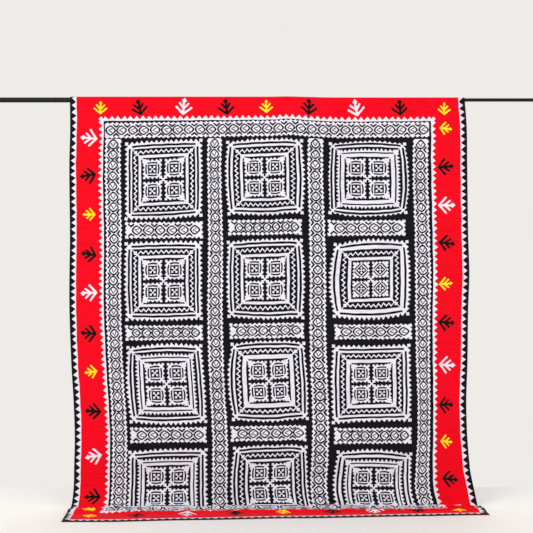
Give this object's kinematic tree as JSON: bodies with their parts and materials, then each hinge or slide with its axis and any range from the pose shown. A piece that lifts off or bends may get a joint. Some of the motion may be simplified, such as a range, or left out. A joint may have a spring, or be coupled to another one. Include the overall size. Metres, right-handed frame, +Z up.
{
  "type": "ralli quilt on a hanging rod",
  "caption": "Cutwork ralli quilt draped face on over a thin telescopic rod, hanging to the floor and sweeping forward along it.",
  "frame": {"origin": "on the floor, at the middle of the part's outline seen from above", "axes": "+Z up, +X to the right along the rod, the quilt's face looks towards -Y"},
  "size_m": [3.12, 0.4102, 2.288],
  "materials": {
    "quilt_face": "matt quilted cotton, black ground with white cutwork and a red border",
    "quilt_backing": "matt plain maroon cotton",
    "rod": "black satin paint"
  },
  "bodies": {
    "root": {"quilt_face": "quilt_face", "quilt_backing": "quilt_backing", "rod_thick_tube": "rod", "rod_thin_tube": "rod"}
  },
  "joints": []
}
